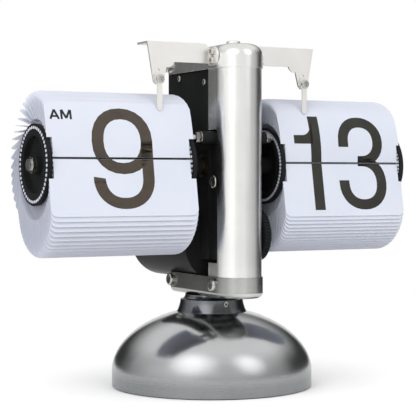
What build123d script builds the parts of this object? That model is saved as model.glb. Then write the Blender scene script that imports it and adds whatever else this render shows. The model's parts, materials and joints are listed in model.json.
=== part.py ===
from build123d import *
import os
from math import acos, atan2, cos, degrees, exp, hypot, pi, radians, sin, sqrt

os.makedirs("parts", exist_ok=True)

# A free-standing flip clock: two drums of hinged number leaves, hours on the left and minutes
# on the right, carried by a half-round column on a domed base.
# Millimetres. +Z up, -Y to the front, +X to the minute side. The origin is the centre of the
# base circle, on the surface that the clock stands on.

# ---------------------------------------------------------------- driving dimensions
HINGE_R = 17.4  # circle of the leaf hinges in the drum discs
AXIS_Y = -10.8  # drum axis behind the base centre (negative is in front)
AXIS_Z = 110.7  # drum axis above the table

# base
BASE_R = 50.4
BASE_SKIRT_Z = 7.6
BASE_RISE = 31.8
BASE_WALL = 1.2
BASE_GAP = 0.4  # the dome's rim stands this far above the table
REBATE_WALL = 0.7  # the dome's wall where it takes the weight's lip
PAD_H = 1.0
PAD_R = 48.8
WEIGHT_LIP = 1.2
WEIGHT_TOP = 12.0
PLUG_R = 44.0
COLLAR_R = 17.7
COLLAR_WAIST_R = 16.4
COLLAR_TOP_R = 15.8
LAND_R = 17.8
TIE_R = 3.0

# tray, column and cap
TRAY_Z = 46.1
TRAY_TOP = 56.4
HALF_W = 12.2  # half width of the tray and the cap
REAR_Y = 25.7  # rear end of the tray
CAP_REAR_Y = 28.4
COLUMN_Y = -27.3  # centre of the half-round front
COLUMN_R = 11.6
CHANNEL_R = 10.9
CHANNEL_T = 0.8
CHANNEL_BACK = -16.9
CAP_Z = 158.0
CAP_TOP = 169.9
WALL = 1.2
WINDOW_LOW = 63.0  # opening in the channel's sides, for the movement
WINDOW_HIGH = 128.2

# movement housing
HOUSING_HALF = 10.6
FRONT_HALF = 8.8
FRONT_Y = -30.4
FRONT_TOP = 127.4
HOUSING_REAR = 27.6
CAVITY_HALF = 7.6
CAVITY_WALL = 1.4
BARREL_R = 18.9
BARREL_WALL = 1.4
BARREL_Z = 71.8
BARREL_FRONT = -7.4
BARREL_REAR = 54.2
COVER_T = 2.8
CELL_R = 17.1
CELL_REAR = 54.0
NUB_R = 4.8
NUB_LEN = 1.5

# gears: the two drum shafts, the motion work, the setting train and the motor
FINE = 0.4  # module of the motion work
COARSE = 0.5  # module of the drive and setting train
MINUTE_TEETH = 14
MOTION_TEETH = 56
MOTION_PINION_TEETH = 10
HOUR_TEETH = 60
DRIVE_TEETH = 50
MOTOR_TEETH = 10
IDLER_TEETH = 38
THUMB_TEETH = 18
THUMB_R = 12.8
THUMB_Y = -20.8
THUMB_Z = 76.3

# drums
SHAFT_R = 2.6
JOURNAL_R = 1.5
ARBOR_R = 1.0
RUNNING = 0.06
DISC_R = 19.2
DISC_IN = 23.7
DISC_T = 2.1
CUP_T = 4.2  # depth of the dish in a disc, from its face
CUP_R = 14.9
WEB_T = 1.3
DISH_R = 13.6
HUB_R = 4.4
CORE_R = 9.0
SHAFT_PROUD = 2.9  # beyond the outer disc
NUT_FLATS = 7.4
NUT_T = 1.8

# leaves
LEAF_T = 0.2
LEAF_L = 26.2  # hinge line to free edge
LEAF_EDGE = 0.8  # hinge line to hinged edge
LEAF_IN = 24.2
NOTCH_H = 8.5
LEAF_PLAY = 0.9  # between a disc and the narrow part of a leaf
EAR_W = 0.3
EAR_H = 0.6  # half height of the ears at the hinge
CORNER_R = 3.2
TOP_LEAN = 80.0
REAR_LEAN = 171.0
HANG_LEAN = 190.0
RIPPLE_LEAN = 3.0
RIPPLE_TURN = 45.0
BEND_TURN = 40.0  # how slowly the bow fades from leaf to leaf
HOUR = {
    "side": -1,
    "leaves": 48,
    "first": 13.7,
    "lean": 13.4,
    "bend": 16.0,
    "out": 99.9,  # outer face of the drum
    "leaf_out": 99.5,
}
MINUTE = {
    "side": 1,
    "leaves": 60,
    "first": 7.6,
    "lean": 13.0,
    "bend": 28.0,
    "out": 97.1,
    "leaf_out": 95.6,
}

# yoke and detent fingers
YOKE_Y = -21.6
SHEET_T = 1.0
YOKE_END = 46.5
YOKE_TOP = 170.0
YOKE_BAND = 9.6
LOBE_X = 40.6
LOBE_Z = 152.0
FINGER_T = 0.5
FINGER_GAP = 1.0  # the finger stands this far in front of the yoke
FINGER_W = 2.7
FINGER_TIP = 136.8
ROD_Z = 124.4
ROD_R = 1.5
ROD_END = 22.8
SLEEVE_R = 3.0
SLEEVE_END = 18.0

# pan-head screws
PAN_R = 3.25
PAN_H = 2.0
SMALL_PAN_R = 2.1
SMALL_PAN_H = 1.3
TINY_PAN_R = 1.6
TINY_PAN_H = 0.9
PAN_ROUND = 0.5  # of the head's height
CROSS_LONG = 1.1  # of the head's radius
CROSS_WIDE = 0.26
CROSS_DEPTH = 0.6  # of the head's height
CROSS_TURN = 30.0


# ---------------------------------------------------------------- helpers
def across(x, y=0.0, z=0.0):
    """A plane square to X, its local x along +Y and its local y along +Z."""
    return Plane(origin=(x, y, z), x_dir=(0, 1, 0), z_dir=(1, 0, 0))


def at_axis(x):
    """The same plane, centred on the drum axis."""
    return across(x, AXIS_Y, AXIS_Z)


def facing(side, x, y, z):
    """A plane square to X that looks outward on the given side."""
    return Plane(origin=(side * x, y, z), x_dir=(0, side, 0), z_dir=(side, 0, 0))


def along_barrel(y):
    """A plane square to the battery barrel, centred on it."""
    return Plane(origin=(0, y, BARREL_Z), x_dir=(1, 0, 0), z_dir=(0, 1, 0))


def gear_points(module, teeth, backlash=0.1):
    """The outline of a spur gear with involute flanks and stub teeth."""
    pitch = module * teeth / 2
    base = pitch * cos(radians(20))
    tip = pitch + 0.75 * module
    root = pitch - 1.05 * module
    half = pi / (2 * teeth) - backlash * module / pitch

    def flank(r):
        """Half the tooth's angle at radius r."""
        at = max(r, base)
        turn = sqrt((at / base) ** 2 - 1)
        turn_pitch = sqrt((pitch / base) ** 2 - 1)
        return half + (turn_pitch - atan2(turn_pitch, 1)) - (turn - atan2(turn, 1))

    radii = (root, max(base, root + 0.01), pitch, tip)
    points = []
    for tooth in range(teeth):
        middle = 2 * pi * tooth / teeth
        for r in radii:
            points.append((r * cos(middle - flank(r)), r * sin(middle - flank(r))))
        for r in reversed(radii):
            points.append((r * cos(middle + flank(r)), r * sin(middle + flank(r))))
    return points


def gear(module, teeth, turn, bore=None):
    """Draws a gear in the current sketch, turned by an angle in degrees, with a bore or none."""
    Polygon(*gear_points(module, teeth), rotation=turn, align=None)
    if bore:
        Circle(bore, mode=Mode.SUBTRACT)


def mesh_turn(direction, teeth, other_teeth, other_turn):
    """The turn that meshes a gear with another one, from which it lies in this direction."""
    phase = (direction - other_turn) * other_teeth / 360 % 1
    return direction + 180 - (0.5 - phase) * 360 / teeth


def towards(y, z, other_y, other_z):
    """The direction from one arbor to another, in degrees from +Y towards +Z."""
    return degrees(atan2(other_z - z, other_y - y))


def boat_outline(half, front_y, rear_y, rear_r):
    """Draws the plan of the tray or the cap: a half-round front and a rounded rear end."""
    with BuildLine() as outline:
        Line((half, front_y), (half, rear_y - rear_r))
        RadiusArc((half, rear_y - rear_r), (half - rear_r, rear_y), -rear_r)
        Line((half - rear_r, rear_y), (rear_r - half, rear_y))
        RadiusArc((rear_r - half, rear_y), (-half, rear_y - rear_r), -rear_r)
        Line((-half, rear_y - rear_r), (-half, front_y))
        ThreePointArc((-half, front_y), (0, front_y - half), (half, front_y))
    make_face(outline.edges())


def save(part, name):
    """Labels a finished piece and writes it."""
    part.label = name
    export_step(part, f"parts/{name}.step")


# ---------------------------------------------------------------- base
COLLAR_Z = BASE_SKIRT_Z + BASE_RISE * sqrt(1 - (LAND_R / BASE_R) ** 2)
LIP_TOP = PAD_H + WEIGHT_LIP
FIT = 0.1  # play between parts that drop into one another


def dome_profile(inset):
    """Draws half of the dome's section: a skirt, a quarter ellipse and the flat land on top."""
    radius = BASE_R - inset
    rise = BASE_RISE - inset
    with BuildLine() as outline:
        Line((radius, BASE_GAP), (radius, BASE_SKIRT_Z))
        arc = EllipticalCenterArc(
            (0, BASE_SKIRT_Z), radius, rise, start_angle=0, arc_size=degrees(acos(LAND_R / radius))
        )
        Line(arc @ 1, (0, (arc @ 1).Y))
        Line((0, (arc @ 1).Y), (0, BASE_GAP))
        Line((0, BASE_GAP), (radius, BASE_GAP))
    make_face(outline.edges())


with BuildPart() as base_dome:
    with BuildSketch(Plane.XZ):
        dome_profile(0)
    revolve(axis=Axis.Z)
    with BuildSketch(Plane.XZ):
        dome_profile(BASE_WALL)
    revolve(axis=Axis.Z, mode=Mode.SUBTRACT)
    with BuildSketch(Plane.XY.offset(BASE_GAP)):
        Circle(BASE_R - REBATE_WALL)
    extrude(amount=LIP_TOP - BASE_GAP, mode=Mode.SUBTRACT)
    with BuildSketch(Plane.XY.offset(COLLAR_Z)):
        Circle(TIE_R)
    extrude(amount=-3 * BASE_WALL, mode=Mode.SUBTRACT)
save(base_dome.part, "base_dome")

NUT_POCKET_R = 9.0
NUT_POCKET_TOP = 5.0
PLUG_TAPER = 20.0
with BuildPart() as base_weight:
    with BuildSketch(Plane.XY.offset(PAD_H)):
        Circle(BASE_R - REBATE_WALL - FIT)
    extrude(amount=WEIGHT_LIP)
    with BuildSketch(Plane.XY.offset(LIP_TOP)):
        Circle(PLUG_R)
    extrude(amount=WEIGHT_TOP - LIP_TOP, taper=PLUG_TAPER)
    with BuildSketch(Plane.XY.offset(PAD_H)):
        Circle(NUT_POCKET_R)
    extrude(amount=NUT_POCKET_TOP - PAD_H, mode=Mode.SUBTRACT)
    with BuildSketch(Plane.XY.offset(PAD_H)):
        Circle(TIE_R)
    extrude(amount=WEIGHT_TOP, mode=Mode.SUBTRACT)
save(base_weight.part, "base_weight")

PAD_ROUND = 0.3
with BuildPart() as base_pad:
    with BuildSketch():
        Circle(PAD_R)
    extrude(amount=PAD_H)
    fillet(base_pad.edges().group_by(Axis.Z)[0].sort_by(SortBy.RADIUS)[-1], PAD_ROUND)
save(base_pad.part, "base_pad")

SET_SCREW_Z = (COLLAR_Z + TRAY_Z) / 2
SET_SCREW_R = 1.4
SET_SCREW_LEN = 5.0
SET_SCREW_SUNK = 1.0  # below the collar's waist
SOCKET_FLATS = 1.4
SHOULDER_R = 2.4
SHOULDER_Z = TRAY_Z - SHOULDER_R
with BuildPart() as neck_collar:
    with BuildSketch(Plane.XZ):
        with BuildLine():
            Line((TIE_R, COLLAR_Z), (COLLAR_R, COLLAR_Z))
            ThreePointArc(
                (COLLAR_R, COLLAR_Z),
                (COLLAR_WAIST_R, (COLLAR_Z + SHOULDER_Z) / 2),
                (COLLAR_TOP_R, SHOULDER_Z),
            )
            RadiusArc((COLLAR_TOP_R, SHOULDER_Z), (COLLAR_TOP_R - SHOULDER_R, TRAY_Z), SHOULDER_R)
            Line((COLLAR_TOP_R - SHOULDER_R, TRAY_Z), (TIE_R, TRAY_Z))
            Line((TIE_R, TRAY_Z), (TIE_R, COLLAR_Z))
        make_face()
    revolve(axis=Axis.Z)
    with BuildSketch(Plane(origin=(0, -COLLAR_R, SET_SCREW_Z), z_dir=(0, -1, 0))):
        Circle(SET_SCREW_R)
    extrude(amount=TIE_R - COLLAR_R, mode=Mode.SUBTRACT)
save(neck_collar.part, "neck_collar")

SET_SCREW_FRONT = Plane(origin=(0, SET_SCREW_SUNK - COLLAR_WAIST_R, SET_SCREW_Z), z_dir=(0, -1, 0))
with BuildPart() as collar_set_screw:
    with BuildSketch(SET_SCREW_FRONT):
        Circle(SET_SCREW_R)
    extrude(amount=-SET_SCREW_LEN)
    with BuildSketch(SET_SCREW_FRONT):
        RegularPolygon(SOCKET_FLATS / 2, 6, major_radius=False)
    extrude(amount=-SET_SCREW_LEN / 2, mode=Mode.SUBTRACT)
save(collar_set_screw.part, "collar_set_screw")

NUT_H = 2.6
TRAY_FLOOR = TRAY_Z + WALL
ROD_LOW = NUT_POCKET_TOP - NUT_H - 0.6
ROD_HIGH = TRAY_FLOOR + NUT_H + 0.6
with BuildPart() as tie_rod:
    with BuildSketch(Plane.XY.offset(ROD_LOW)):
        Circle(TIE_R)
    extrude(amount=ROD_HIGH - ROD_LOW)
    chamfer(tie_rod.edges().filter_by(GeomType.CIRCLE), 0.4)
save(tie_rod.part, "tie_rod")

with BuildPart() as tie_nuts:
    for low in (NUT_POCKET_TOP - NUT_H, TRAY_FLOOR):
        with BuildSketch(Plane.XY.offset(low)):
            RegularPolygon(5.0, 6, major_radius=False)
            Circle(TIE_R, mode=Mode.SUBTRACT)
        extrude(amount=NUT_H)
save(tie_nuts.part, "tie_nuts")

# ---------------------------------------------------------------- tray, column and cap
TRAY_SCREW_Z = 52.4
FRONT_SCREW_Y = -24.6
REAR_SCREW_Y = 20.8
CAP_SCREW_Z = 162.3
CAP_SCREW_Y = 24.0
SCREW_SHANK_R = 1.5
SCREW_SPOTS = [
    (FRONT_SCREW_Y, TRAY_SCREW_Z),
    (REAR_SCREW_Y, TRAY_SCREW_Z),
    (CAP_SCREW_Y, CAP_SCREW_Z),
]
SHANK_LEN = 2.8
REAR_R = 5.0

with BuildPart() as bottom_tray:
    with BuildSketch(Plane.XY.offset(TRAY_Z)):
        boat_outline(HALF_W, COLUMN_Y, REAR_Y, REAR_R)
    extrude(amount=TRAY_TOP - TRAY_Z)
    fillet(bottom_tray.edges().group_by(Axis.Z)[0], 2.6)
    with BuildSketch(Plane.XY.offset(TRAY_FLOOR)):
        boat_outline(HALF_W - WALL, COLUMN_Y, REAR_Y - WALL, REAR_R - WALL)
    extrude(amount=TRAY_TOP, mode=Mode.SUBTRACT)
    with BuildSketch(Plane.XY.offset(TRAY_Z)):
        Circle(TIE_R)
    extrude(amount=3 * WALL, mode=Mode.SUBTRACT)
    for y, z in SCREW_SPOTS[:2]:
        with BuildSketch(across(-HALF_W, y, z)):
            Circle(SCREW_SHANK_R)
        extrude(amount=2 * HALF_W, mode=Mode.SUBTRACT)
    with BuildSketch(along_barrel(0)):
        Circle(BARREL_R + 0.05)
    extrude(amount=2 * REAR_Y, mode=Mode.SUBTRACT)
save(bottom_tray.part, "bottom_tray")

CAP_DOME_R = 6.0
with BuildPart() as top_cap:
    with BuildSketch(Plane.XY.offset(CAP_Z)):
        boat_outline(HALF_W, COLUMN_Y, CAP_REAR_Y, REAR_R)
    extrude(amount=CAP_TOP - CAP_Z)
    fillet(top_cap.edges().group_by(Axis.Z)[-1], CAP_DOME_R)
    with BuildSketch(Plane.XY.offset(CAP_Z)):
        boat_outline(HALF_W - WALL, COLUMN_Y, CAP_REAR_Y - WALL, REAR_R - WALL)
    extrude(amount=CAP_TOP - CAP_Z - CAP_DOME_R + WALL, mode=Mode.SUBTRACT)
    with BuildSketch(across(-HALF_W, CAP_SCREW_Y, CAP_SCREW_Z)):
        Circle(SCREW_SHANK_R)
    extrude(amount=2 * HALF_W, mode=Mode.SUBTRACT)
save(top_cap.part, "top_cap")

BUTTON_Y = AXIS_Y - 0.68 * HINGE_R
with BuildPart() as cap_button:
    with BuildSketch(Plane.XY.offset(CAP_TOP).move(Location((0, BUTTON_Y, 0)))):
        Circle(3.4)
    extrude(amount=2.0)
    fillet(cap_button.edges().group_by(Axis.Z)[-1], 0.8)
save(cap_button.part, "cap_button")

CHANNEL_HIGH = CAP_TOP - CAP_DOME_R
with BuildPart() as column_channel:
    with BuildSketch(Plane.XY.offset(TRAY_FLOOR)):
        with BuildLine():
            Line((CHANNEL_R, CHANNEL_BACK), (CHANNEL_R, COLUMN_Y))
            ThreePointArc((CHANNEL_R, COLUMN_Y), (0, COLUMN_Y - CHANNEL_R), (-CHANNEL_R, COLUMN_Y))
            Line((-CHANNEL_R, COLUMN_Y), (-CHANNEL_R, CHANNEL_BACK))
            Line((-CHANNEL_R, CHANNEL_BACK), (-CHANNEL_R + CHANNEL_T, CHANNEL_BACK))
            Line((-CHANNEL_R + CHANNEL_T, CHANNEL_BACK), (-CHANNEL_R + CHANNEL_T, COLUMN_Y))
            ThreePointArc(
                (-CHANNEL_R + CHANNEL_T, COLUMN_Y),
                (0, COLUMN_Y - CHANNEL_R + CHANNEL_T),
                (CHANNEL_R - CHANNEL_T, COLUMN_Y),
            )
            Line((CHANNEL_R - CHANNEL_T, COLUMN_Y), (CHANNEL_R - CHANNEL_T, CHANNEL_BACK))
            Line((CHANNEL_R - CHANNEL_T, CHANNEL_BACK), (CHANNEL_R, CHANNEL_BACK))
        make_face()
    extrude(amount=CHANNEL_HIGH - TRAY_FLOOR)
    with BuildSketch(across(-HALF_W)):
        with Locations(((COLUMN_Y + CHANNEL_BACK) / 2 + 5, (WINDOW_LOW + WINDOW_HIGH) / 2)):
            RectangleRounded(CHANNEL_BACK - COLUMN_Y + 10, WINDOW_HIGH - WINDOW_LOW, 3.0)
    extrude(amount=2 * HALF_W, mode=Mode.SUBTRACT)
    with BuildSketch(across(-HALF_W, FRONT_SCREW_Y, TRAY_SCREW_Z)):
        Circle(SCREW_SHANK_R)
    extrude(amount=2 * HALF_W, mode=Mode.SUBTRACT)
save(column_channel.part, "column_channel")

with BuildPart() as front_column:
    with BuildSketch(Plane.XY.offset(TRAY_TOP)):
        with Locations((0, COLUMN_Y)):
            Circle(COLUMN_R)
            Circle(CHANNEL_R, mode=Mode.SUBTRACT)
        with Locations((0, COLUMN_Y + COLUMN_R)):
            Rectangle(4 * COLUMN_R, 2 * COLUMN_R, mode=Mode.SUBTRACT)
    extrude(amount=CAP_Z - TRAY_TOP)
save(front_column.part, "front_column")


def cross_recess(head_r):
    """Draws the cross recess of a screw head in the current sketch."""
    for slot in range(2):
        Rectangle(CROSS_LONG * head_r, CROSS_WIDE * head_r, rotation=90 * slot + CROSS_TURN)


def pan_screw(side, x, y, z, head_r, head_h, shank_r, shank_len):
    """A pan-head screw with a cross recess, standing out of a side at the half width x."""
    with BuildSketch(facing(side, x, y, z)) as disc:
        Circle(head_r)
    head = extrude(disc.sketch, amount=head_h)
    rims = head.edges().filter_by(GeomType.CIRCLE).sort_by(Axis.X)
    fillet(rims[-1 if side > 0 else 0], PAN_ROUND * head_h)
    with BuildSketch(facing(side, x + head_h, y, z)) as cross:
        cross_recess(head_r)
    extrude(cross.sketch, amount=-CROSS_DEPTH * head_h, mode=Mode.SUBTRACT)
    with BuildSketch(facing(side, x, y, z)) as shank:
        Circle(shank_r)
    extrude(shank.sketch, amount=-shank_len)


with BuildPart() as frame_screws:
    for side in (-1, 1):
        for y, z in SCREW_SPOTS:
            pan_screw(side, HALF_W, y, z, PAN_R, PAN_H, SCREW_SHANK_R, SHANK_LEN)
save(frame_screws.part, "frame_screws")

# ---------------------------------------------------------------- yoke and fingers
EAR_FRONT = YOKE_Y - 8.6
EAR_LOW = 159.6
EAR_HIGH = 168.4
EAR_SCREW_Y = -25.6
EAR_SCREW_Z = (161.7, 166.1)
SMALL_SHANK_R = 0.9
FLANGE_Y = 11.5
PLATE_FRONT = YOKE_Y - SHEET_T / 2
WING_IN = HALF_W + SHEET_T
LOBE_LOW = LOBE_Z - 2.6


def yoke_half(side):
    """One wing: a plate with a tapering lobe, a flange bent back on top, an ear on the cap."""
    wing = Plane(origin=(0, PLATE_FRONT, 0), x_dir=(side, 0, 0), z_dir=(0, -side, 0))
    band_low = YOKE_TOP - YOKE_BAND
    with BuildSketch(wing) as plate:
        with BuildLine():
            Polyline(
                (HALF_W, EAR_HIGH - 1.2),
                (WING_IN + 2.2, YOKE_TOP),
                (YOKE_END, YOKE_TOP),
                (YOKE_END - 0.6, YOKE_TOP - 4.0),
                (LOBE_X + 2.6, LOBE_LOW + 1.2),
                (LOBE_X + 1.4, LOBE_LOW),
                (LOBE_X - 1.4, LOBE_LOW),
                (LOBE_X - 2.6, LOBE_LOW + 1.2),
            )
            Line((LOBE_X - 2.6, LOBE_LOW + 1.2), (LOBE_X - 4.4, band_low - 2.6))
            RadiusArc((LOBE_X - 4.4, band_low - 2.6), (LOBE_X - 8.4, band_low), 3.6)
            Line((LOBE_X - 8.4, band_low), (HALF_W, band_low))
            Line((HALF_W, band_low), (HALF_W, EAR_HIGH - 1.2))
        make_face()
        with Locations((LOBE_X, LOBE_Z)):
            Circle(SMALL_SHANK_R, mode=Mode.SUBTRACT)
        with Locations((LOBE_X, LOBE_Z + 4.3)):
            RegularPolygon(0.9, 3, rotation=90, mode=Mode.SUBTRACT)
    extrude(plate.sketch, amount=-side * SHEET_T)
    with BuildSketch(across(side * (WING_IN + 2.2), 0, YOKE_TOP - SHEET_T)) as top:
        with BuildLine():
            Polyline(
                (PLATE_FRONT, 0),
                (PLATE_FRONT, SHEET_T),
                (PLATE_FRONT + FLANGE_Y, SHEET_T),
                (PLATE_FRONT + FLANGE_Y, 0),
                close=True,
            )
        make_face()
    extrude(top.sketch, amount=side * (YOKE_END - WING_IN - 2.2))
    with BuildSketch(facing(side, HALF_W, 0, 0)) as ear:
        with BuildLine():
            middle = (EAR_LOW + EAR_HIGH) / 2
            reach = (EAR_HIGH - EAR_LOW) / 2
            back = PLATE_FRONT + SHEET_T
            Line((side * back, EAR_LOW), (side * (EAR_FRONT + reach), EAR_LOW))
            ThreePointArc(
                (side * (EAR_FRONT + reach), EAR_LOW),
                (side * EAR_FRONT, middle),
                (side * (EAR_FRONT + reach), EAR_HIGH),
            )
            Line((side * (EAR_FRONT + reach), EAR_HIGH), (side * back, EAR_HIGH))
            Line((side * back, EAR_HIGH), (side * back, EAR_LOW))
        make_face()
        with Locations(*[(side * EAR_SCREW_Y, z) for z in EAR_SCREW_Z]):
            Circle(SMALL_SHANK_R, mode=Mode.SUBTRACT)
    extrude(ear.sketch, amount=SHEET_T)


with BuildPart() as yoke_left:
    yoke_half(-1)
save(yoke_left.part, "yoke_left")

with BuildPart() as yoke_right:
    yoke_half(1)
save(yoke_right.part, "yoke_right")


def forward(side, y, z):
    """A plane that looks to the front, centred on a finger's line."""
    return Plane(origin=(side * LOBE_X, y, z), x_dir=(1, 0, 0), z_dir=(0, -1, 0))


FINGER_BACK = PLATE_FRONT - FINGER_GAP
FINGER_FRONT = FINGER_BACK - FINGER_T


def finger(side):
    """A detent finger: a square-rounded head on a spacer and a narrow strip to the leaf."""
    with BuildSketch(forward(side, FINGER_BACK, 0)) as strip:
        with Locations((0, LOBE_Z)):
            RectangleRounded(4.6, 5.0, 1.2)
        with Locations((0, (LOBE_Z + FINGER_TIP) / 2)):
            RectangleRounded(FINGER_W, LOBE_Z - FINGER_TIP, FINGER_W / 2 - 0.01)
    extrude(strip.sketch, amount=FINGER_T)
    with BuildSketch(forward(side, PLATE_FRONT, LOBE_Z)) as spacer:
        Circle(SMALL_PAN_R)
    extrude(spacer.sketch, amount=FINGER_GAP)
    with BuildSketch(forward(side, PLATE_FRONT, LOBE_Z)) as bore:
        Circle(SMALL_SHANK_R + RUNNING)
    extrude(bore.sketch, amount=FINGER_GAP + FINGER_T, mode=Mode.SUBTRACT)


with BuildPart() as hour_finger:
    finger(-1)
save(hour_finger.part, "hour_finger")

with BuildPart() as minute_finger:
    finger(1)
save(minute_finger.part, "minute_finger")

with BuildPart() as yoke_screws:
    for side in (-1, 1):
        for z in EAR_SCREW_Z:
            head = (SMALL_PAN_R, SMALL_PAN_H, SMALL_SHANK_R, SHEET_T)
            pan_screw(side, WING_IN, EAR_SCREW_Y, z, *head)
        with BuildSketch(forward(side, FINGER_FRONT, LOBE_Z)):
            Circle(SMALL_PAN_R)
        head = extrude(amount=SMALL_PAN_H)
        fillet(head.edges().filter_by(GeomType.CIRCLE).sort_by(Axis.Y)[0], PAN_ROUND * SMALL_PAN_H)
        with BuildSketch(forward(side, FINGER_FRONT - SMALL_PAN_H, LOBE_Z)):
            cross_recess(SMALL_PAN_R)
        extrude(amount=-CROSS_DEPTH * SMALL_PAN_H, mode=Mode.SUBTRACT)
        with BuildSketch(forward(side, FINGER_FRONT, LOBE_Z)):
            Circle(SMALL_SHANK_R)
        extrude(amount=-FINGER_T - FINGER_GAP - SHEET_T)
save(yoke_screws.part, "yoke_screws")

# ---------------------------------------------------------------- movement housing
MOTION_DISTANCE = FINE * (MINUTE_TEETH + MOTION_TEETH) / 2
MOTION_Y = AXIS_Y + MOTION_DISTANCE * cos(radians(45))
MOTION_Z = AXIS_Z + MOTION_DISTANCE * sin(radians(45))
MOTOR_DISTANCE = COARSE * (DRIVE_TEETH + MOTOR_TEETH) / 2
MOTOR_Y = AXIS_Y + MOTOR_DISTANCE * cos(radians(50))
MOTOR_Z = AXIS_Z - MOTOR_DISTANCE * sin(radians(50))
IDLER_FROM_DRUM = COARSE * (DRIVE_TEETH + IDLER_TEETH) / 2
IDLER_FROM_THUMB = COARSE * (THUMB_TEETH + IDLER_TEETH) / 2
DRUM_TO_THUMB = hypot(THUMB_Y - AXIS_Y, THUMB_Z - AXIS_Z)
along = (IDLER_FROM_DRUM**2 - IDLER_FROM_THUMB**2 + DRUM_TO_THUMB**2) / (2 * DRUM_TO_THUMB)
aside = sqrt(max(IDLER_FROM_DRUM**2 - along**2, 0))
down_y = (THUMB_Y - AXIS_Y) / DRUM_TO_THUMB
down_z = (THUMB_Z - AXIS_Z) / DRUM_TO_THUMB
IDLER_Y = AXIS_Y + along * down_y + aside * down_z
IDLER_Z = AXIS_Z + along * down_z - aside * down_y

INNER_FRONT = CHANNEL_BACK + 0.1
FRONT_LOW = WINDOW_LOW + 1.5
FEET = [
    (15.0, REAR_Y - WALL - 0.1, TRAY_FLOOR + 0.1, 60.0),
    (17.6, CAP_REAR_Y - WALL - 0.1, CAP_Z - 1.0, 165.0),
]
FOOT_HALF = HALF_W - WALL - 0.1
BUSH_R = 4.0
BOSS_X = 9.6
SMALL_SPOTS = [(14.6, 155.4), (23.0, 97.0), (-12.6, 152.0)]
BIG_SPOT = (-20.4, 102.7)


def housing_half(side):
    """Half of the black movement housing, with half of the battery barrel under it."""
    with BuildSketch(across(0)) as front:
        with Locations(((FRONT_Y + INNER_FRONT) / 2 + 1, (FRONT_LOW + FRONT_TOP) / 2)):
            RectangleRounded(INNER_FRONT - FRONT_Y + 2, FRONT_TOP - FRONT_LOW, 1.5)
    extrude(front.sketch, amount=side * FRONT_HALF)
    with BuildSketch(across(0)) as tall:
        Polygon(
            (INNER_FRONT, FRONT_LOW),
            (BARREL_FRONT + 1, FRONT_LOW),
            (BARREL_FRONT + 1, BARREL_Z + 8),
            (HOUSING_REAR, BARREL_Z + 8),
            (HOUSING_REAR, CAP_Z),
            (INNER_FRONT, CAP_Z),
            align=None,
        )
    extrude(tall.sketch, amount=side * HOUSING_HALF)
    with BuildSketch(along_barrel(BARREL_FRONT)) as barrel:
        Circle(BARREL_R)
        with Locations((-side * BARREL_R, 0)):
            Rectangle(2 * BARREL_R, 2 * BARREL_R, mode=Mode.SUBTRACT)
    extrude(barrel.sketch, amount=BARREL_REAR - BARREL_FRONT)
    for y0, y1, z0, z1 in FEET:
        with BuildSketch(Plane.XY.offset(z0)) as foot:
            with Locations((side * FOOT_HALF / 2, (y0 + y1) / 2)):
                Rectangle(FOOT_HALF, y1 - y0)
            fillet(foot.vertices().sort_by(Axis.Y)[-2:].sort_by(lambda v: abs(v.X))[-1], REAR_R - WALL)
        extrude(foot.sketch, amount=z1 - z0)
    inner = BARREL_FRONT - 1.1
    shelf = BARREL_Z + BARREL_R + 0.2
    with BuildSketch(across(0)) as cavity:
        Polygon(
            (FRONT_Y + CAVITY_WALL, FRONT_LOW + CAVITY_WALL),
            (inner, FRONT_LOW + CAVITY_WALL),
            (inner, shelf),
            (HOUSING_REAR - CAVITY_WALL, shelf),
            (HOUSING_REAR - CAVITY_WALL, CAP_Z - CAVITY_WALL),
            (INNER_FRONT + CAVITY_WALL, CAP_Z - CAVITY_WALL),
            (INNER_FRONT + CAVITY_WALL, FRONT_TOP - CAVITY_WALL),
            (FRONT_Y + CAVITY_WALL, FRONT_TOP - CAVITY_WALL),
            align=None,
        )
    extrude(cavity.sketch, amount=side * CAVITY_HALF, mode=Mode.SUBTRACT)
    with BuildSketch(along_barrel(BARREL_FRONT + BARREL_WALL)) as bore:
        Circle(BARREL_R - BARREL_WALL)
    extrude(bore.sketch, amount=2 * BARREL_REAR, mode=Mode.SUBTRACT)


def drill(side, spots, radius, start=0.0, end=HALF_W):
    """Round holes along X on one side of the housing."""
    with BuildSketch(across(side * start)) as holes:
        with Locations(*spots):
            Circle(radius)
    extrude(holes.sketch, amount=side * (end - start), mode=Mode.SUBTRACT)


SMALL_DEPTH = 1.2
with BuildPart() as housing_left:
    housing_half(-1)
    with BuildSketch(across(-FRONT_HALF + 1)):
        with Locations((THUMB_Y, THUMB_Z)):
            Circle(THUMB_R)
        with Locations((THUMB_Y - THUMB_R, THUMB_Z)):
            Rectangle(2 * (THUMB_R + THUMB_Y - FRONT_Y - 0.2), 4 * THUMB_R, mode=Mode.SUBTRACT)
    extrude(amount=FRONT_HALF - 1 - BOSS_X)
    drill(-1, [(AXIS_Y, AXIS_Z)], BUSH_R)
    drill(-1, [(MOTION_Y, MOTION_Z)], ARBOR_R + RUNNING, CAVITY_HALF - 1, CAVITY_HALF + 1)
    drill(-1, [(YOKE_Y, ROD_Z)], ROD_R)
    drill(-1, [BIG_SPOT], SCREW_SHANK_R)
    drill(-1, SMALL_SPOTS, SMALL_SHANK_R, HOUSING_HALF - SMALL_DEPTH, HOUSING_HALF)
    drill(-1, SCREW_SPOTS[1:], SCREW_SHANK_R, HALF_W - SHANK_LEN, HALF_W)
save(housing_left.part, "housing_left")

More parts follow.
